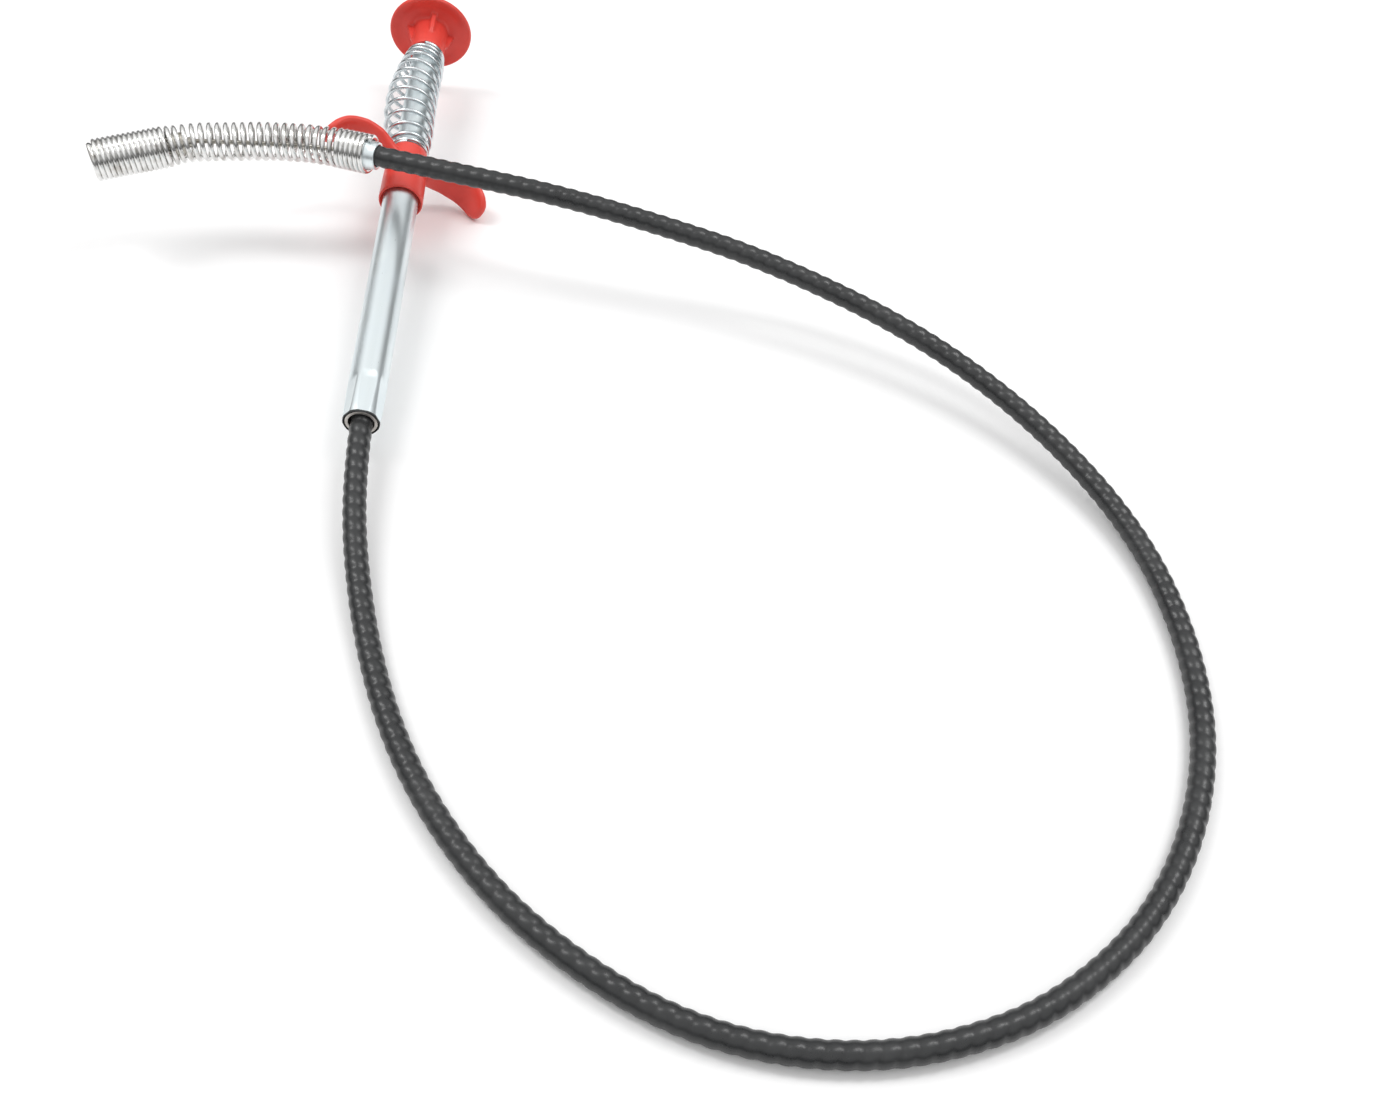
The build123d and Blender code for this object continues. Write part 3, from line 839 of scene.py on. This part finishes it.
def build_head_spring():
    """One spring: close coils on the ferrule, open coils, and the close-wound tip."""
    line = evenly(nurbs_line([
        tuple(FERRULE_BACK + FERRULE_WAY * 1.8 * MM),
        (0.0125, 0.0042, 0.038),
        (-0.006, 0.0047, 0.038),
        (-0.021, 0.0030, 0.038),
        (-0.032, 0.0018, 0.038),
        tuple(HEAD_MOUTH - HEAD_WAY * 22 * MM),
        tuple(HEAD_MOUTH - HEAD_WAY * 12 * MM),
        tuple(HEAD_MOUTH),
    ]), 0.5 * MM)
    length = distances(line)[-1] / MM
    tip_start = length - TIP_LENGTH
    tip_turn = ROOT_TURNS + OPEN_TURNS
    # (distance along the line, turns made, radius to the wire's middle)
    coils = np.array([
        (HEAD_START, 0, ROOT_RADIUS),
        (ROOT_LENGTH, ROOT_TURNS, ROOT_RADIUS),
        (ROOT_LENGTH + 4, ROOT_TURNS + 1.6, OPEN_RADIUS),
        (tip_start - 5, tip_turn - 2.2, OPEN_RADIUS),
        (tip_start, tip_turn, TIP_RADIUS),
        (length - HEAD_END, tip_turn + TIP_TURNS, TIP_RADIUS),
    ])
    along, turns, radii = coils.T
    wire = wound(line, along * MM, turns, radii * MM, hand=1, per_turn=36)
    spring = wire_along("head_spring_wire", wire, HEAD_WIRE * MM)
    dress(spring, HEAD_STEEL, "handle", ["head_spring"])


# ---- Carried-over CAD pieces --------------------------------------------------

CARRIED = {
    "guide_bush": NYLON,
    "wire_anchor": BRASS,
    "wire_end_crimp": BUSHING_STEEL,
    "shaft_liner": CLAW_STEEL,
    "drive_wire": CLAW_STEEL,
    "claw_collar": CLAW_STEEL,
    "claw_1": CLAW_STEEL,
    "claw_2": CLAW_STEEL,
    "claw_3": CLAW_STEEL,
    "claw_4": CLAW_STEEL,
}


def carry_over():
    """CAD nodes that keep their shape take a finish of their own."""
    for name, material in CARRIED.items():
        node = frame["nodes"][name]
        node.data.materials.clear()
        node.data.materials.append(material)


# ---- Studio -------------------------------------------------------------------

FLOOR_HALF = 4.0
SKY_DARK = (0.2, 0.15)         # (how far up a direction points, 0 to 1, and its brightness)
SKY_BRIGHT = (0.62, 1.0)
SCENE_MIDDLE = (0.1, -0.08, 0.0)
BOX_WIDTH = 0.22
BOX_HEIGHT = 0.55
BOX_POWER = 3.2                # watts
BOX_PLACES = {"left_box": (-0.45, 0.1, 0.95), "right_box": (0.65, 0.1, 0.95)}


def soft_light(name, place):
    """A tall soft box that faces the middle of the scene."""
    data = bpy.data.lights.new(name, "AREA")
    data.shape = "RECTANGLE"
    data.size = BOX_WIDTH
    data.size_y = BOX_HEIGHT
    data.energy = BOX_POWER
    light = bpy.data.objects.new(name, data)
    light.location = place
    light.rotation_mode = "QUATERNION"
    light.rotation_quaternion = (Vector(SCENE_MIDDLE) - Vector(place)).to_track_quat("-Z", "Y")
    bpy.context.scene.collection.objects.link(light)


def build_studio():
    """A pale floor, a sky that darkens towards the horizon, and two soft boxes."""
    corners = [(x * FLOOR_HALF, y * FLOOR_HALF, 0) for x, y in ((-1, -1), (1, -1), (1, 1), (-1, 1))]
    floor = new_piece("floor", corners, [(0, 1, 2, 3)])
    finish = Finish("floor", (0.93, 0.93, 0.93), roughness=0.55)
    grain = finish.noise(finish.place("object", (30, 30, 30)))
    finish.tint(finish.span(grain, 0.3, 0.7), (0.915, 0.915, 0.915))
    floor.data.materials.append(finish.material)

    world = bpy.data.worlds.new("studio")
    world.use_nodes = True
    nodes, links = world.node_tree.nodes, world.node_tree.links
    background = nodes["Background"]
    background.inputs["Strength"].default_value = 1.0
    way = nodes.new("ShaderNodeTexCoord")
    parts = nodes.new("ShaderNodeSeparateXYZ")
    links.new(way.outputs["Generated"], parts.inputs["Vector"])
    sky = nodes.new("ShaderNodeMapRange")
    sky.interpolation_type = "SMOOTHSTEP"
    sky.inputs["From Min"].default_value, sky.inputs["To Min"].default_value = SKY_DARK
    sky.inputs["From Max"].default_value, sky.inputs["To Max"].default_value = SKY_BRIGHT
    links.new(parts.outputs["Z"], sky.inputs["Value"])
    links.new(sky.outputs["Result"], background.inputs["Color"])
    bpy.context.scene.world = world
    bpy.context.scene.view_settings.view_transform = "Standard"

    for name, place in BOX_PLACES.items():
        soft_light(name, place)


def build_camera():
    """The camera, at the reference view."""
    data = bpy.data.cameras.new("camera")
    data.lens = CAMERA_LENS
    data.sensor_width = CAMERA_SENSOR
    data.sensor_fit = "HORIZONTAL"
    data.clip_start = 0.01
    data.clip_end = 50.0
    camera = bpy.data.objects.new("camera", data)
    camera.location = CAMERA_PLACE
    aim = (Vector(CAMERA_TARGET) - Vector(CAMERA_PLACE)).to_track_quat("-Z", "Y")
    camera.rotation_mode = "QUATERNION"
    camera.rotation_quaternion = aim @ Matrix.Rotation(CAMERA_ROLL, 3, "Z").to_quaternion()
    bpy.context.scene.collection.objects.link(camera)
    bpy.context.scene.camera = camera


shaft, shaft_line = build_shaft()
build_tube()
build_bushing()
build_grip()
build_button()
build_plunger()
build_return_spring()
build_ferrule()
build_head_spring()
carry_over()
build_studio()
build_camera()
